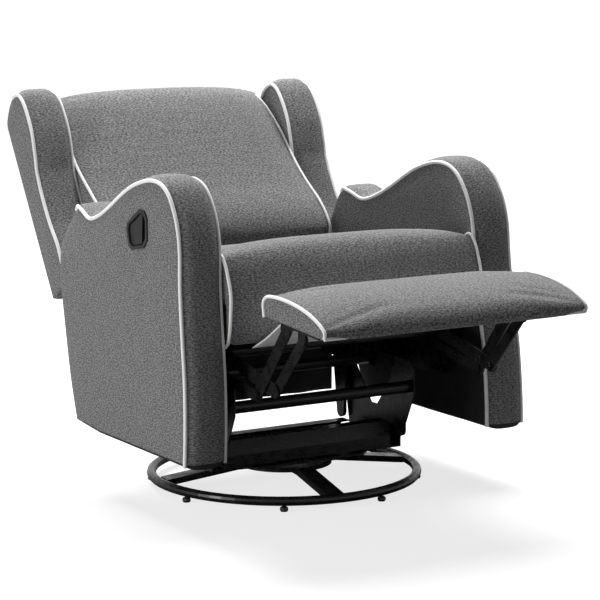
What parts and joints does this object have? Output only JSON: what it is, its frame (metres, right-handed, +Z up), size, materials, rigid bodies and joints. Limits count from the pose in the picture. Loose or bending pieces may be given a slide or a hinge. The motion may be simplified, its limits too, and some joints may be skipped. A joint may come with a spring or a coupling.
{
  "type": "glider recliner",
  "caption": "Padded recliner with a wing back, scooped arms and a fold-out footrest, hung on glider links over a swivelling steel ring base.",
  "frame": {"origin": "on the floor, in the middle of the part's bounding box, with the footrest out and the back laid down", "axes": "+Z up; the chair faces -Y; +X is at the sitter's left hand"},
  "size_m": [0.775, 1.2032, 0.782],
  "materials": {
    "woven_grey_fabric": "heathered grey plain weave",
    "pale_lining": "thin matt lining cloth",
    "black_lining": "black dust cloth",
    "black_painted_steel": "satin black paint",
    "zinc_plated_steel": "zinc plated",
    "black_plastic": "fine-grained black",
    "plywood": "bare plywood"
  },
  "bodies": {
    "floor_base": {"base_ring": "black_painted_steel", "base_cross": "black_painted_steel", "floor_glide_1": "black_plastic", "floor_glide_2": "black_plastic", "floor_glide_3": "black_plastic", "floor_glide_4": "black_plastic", "floor_glide_5": "black_plastic", "floor_glide_6": "black_plastic", "floor_glide_7": "black_plastic", "floor_glide_8": "black_plastic"},
    "swivel_frame": {"swivel_bearing": "zinc_plated_steel", "swivel_plate": "black_painted_steel", "swivel_bolt": "zinc_plated_steel", "front_channel": "black_painted_steel", "rear_channel": "black_painted_steel", "glider_stand_left": "black_painted_steel", "glider_stand_right": "black_painted_steel"},
    "hanger_front_left": {"glide_link_front_left": "black_painted_steel"},
    "hanger_front_right": {"glide_link_front_right": "black_painted_steel"},
    "hanger_rear_left": {"glide_link_rear_left": "black_painted_steel"},
    "hanger_rear_right": {"glide_link_rear_right": "black_painted_steel"},
    "carriage": {"glider_rail_left": "black_painted_steel", "glider_rail_right": "black_painted_steel", "mechanism_plate_left": "black_painted_steel", "mechanism_plate_right": "black_painted_steel", "arm_left": "woven_grey_fabric", "arm_right": "woven_grey_fabric", "front_cross_tube": "black_painted_steel", "middle_cross_tube": "black_painted_steel", "rear_cross_tube": "black_painted_steel", "handle_bezel": "black_plastic", "seat_frame": "plywood", "seat_cushion": "woven_grey_fabric", "gap_lining": "pale_lining", "rear_lining": "black_lining"},
    "release_handle": {"handle_paddle": "black_plastic"},
    "back": {"wing_left": "woven_grey_fabric", "wing_right": "woven_grey_fabric", "back_bracket_left": "black_painted_steel", "back_bracket_right": "black_painted_steel", "back_frame": "plywood", "back_cover": "woven_grey_fabric", "back_cushion": "woven_grey_fabric"},
    "footrest_lower": {"lower_link_left": "black_painted_steel", "lower_link_right": "black_painted_steel", "torque_tube": "black_painted_steel"},
    "footrest_upper": {"upper_link_left": "black_painted_steel", "upper_link_right": "black_painted_steel"},
    "footrest": {"footrest_bracket_left": "black_painted_steel", "footrest_bracket_right": "black_painted_steel", "footrest_board": "plywood", "footrest_pad": "woven_grey_fabric"},
    "footrest_control": {"control_link_left": "black_painted_steel", "control_link_right": "black_painted_steel"},
    "footrest_front": {"front_link_left": "black_painted_steel", "front_link_right": "black_painted_steel"}
  },
  "joints": [
    {"name": "swivel", "type": "hinge", "parent": "floor_base", "child": "swivel_frame", "pos_m": [0, 0.02098, 0], "axis": [0, 0, 1], "continuous": true},
    {"name": "hanger_front_left_hinge", "type": "hinge", "parent": "swivel_frame", "child": "hanger_front_left", "pos_m": [0.215, -0.09402, 0.24], "axis": [1, 0, 0], "range_deg": [-20.5, 20.5]},
    {"name": "hanger_front_right_hinge", "type": "hinge", "parent": "swivel_frame", "child": "hanger_front_right", "pos_m": [-0.215, -0.09402, 0.24], "axis": [1, 0, 0], "range_deg": [-20.5, 20.5]},
    {"name": "hanger_rear_left_hinge", "type": "hinge", "parent": "swivel_frame", "child": "hanger_rear_left", "pos_m": [0.215, 0.13598, 0.24], "axis": [1, 0, 0], "range_deg": [-20.5, 20.5]},
    {"name": "hanger_rear_right_hinge", "type": "hinge", "parent": "swivel_frame", "child": "hanger_rear_right", "pos_m": [-0.215, 0.13598, 0.24], "axis": [1, 0, 0], "range_deg": [-20.5, 20.5]},
    {"name": "glide", "type": "hinge", "parent": "hanger_front_left", "child": "carriage", "pos_m": [0.215, -0.09402, 0.1], "axis": [1, 0, 0], "range_deg": [-20, 20]},
    {"name": "release_handle_hinge", "type": "hinge", "parent": "carriage", "child": "release_handle", "pos_m": [-0.37009, -0.03483, 0.55201], "axis": [-0.0351, 0, -0.9994], "range_deg": [0, 20], "stiffness_Nm_per_rad": 0.3},
    {"name": "recline", "type": "hinge", "parent": "carriage", "child": "back", "pos_m": [0, 0.29298, 0.42], "axis": [1, 0, 0], "range_deg": [0, 22]},
    {"name": "footrest_lower_hinge", "type": "hinge", "parent": "carriage", "child": "footrest_lower", "pos_m": [0, -0.17402, 0.318], "axis": [1, 0, 0], "range_deg": [0, 105.22]},
    {"name": "footrest_upper_hinge", "type": "hinge", "parent": "footrest_lower", "child": "footrest_upper", "pos_m": [0, -0.33002, 0.282], "axis": [1, 0, 0], "range_deg": [-100.98, 0]},
    {"name": "footrest_hinge", "type": "hinge", "parent": "footrest_upper", "child": "footrest", "pos_m": [0, -0.42402, 0.4], "axis": [1, 0, 0], "range_deg": [0, 76.76], "deforming": ["gap_lining"]},
    {"name": "footrest_control_hinge", "type": "hinge", "parent": "carriage", "child": "footrest_control", "pos_m": [0, -0.16252, 0.2794], "axis": [1, 0, 0], "range_deg": [0, 116.18]},
    {"name": "footrest_front_hinge", "type": "hinge", "parent": "footrest_lower", "child": "footrest_front", "pos_m": [0, -0.3651, 0.27391], "axis": [1, 0, 0], "range_deg": [-99.14, 0]}
  ],
  "couplings": [
    {"joint": "hanger_front_left_hinge", "follows": "glide", "ratio": -1},
    {"joint": "hanger_front_right_hinge", "follows": "glide", "ratio": -1},
    {"joint": "hanger_rear_left_hinge", "follows": "glide", "ratio": -1},
    {"joint": "hanger_rear_right_hinge", "follows": "glide", "ratio": -1},
    {"joint": "footrest_lower_hinge", "follows": "footrest_hinge", "ratio": 1.3643},
    {"joint": "footrest_upper_hinge", "follows": "footrest_hinge", "ratio": -1.3091},
    {"joint": "footrest_control_hinge", "follows": "footrest_hinge", "ratio": 1.507},
    {"joint": "footrest_front_hinge", "follows": "footrest_hinge", "ratio": -1.2851}
  ]
}
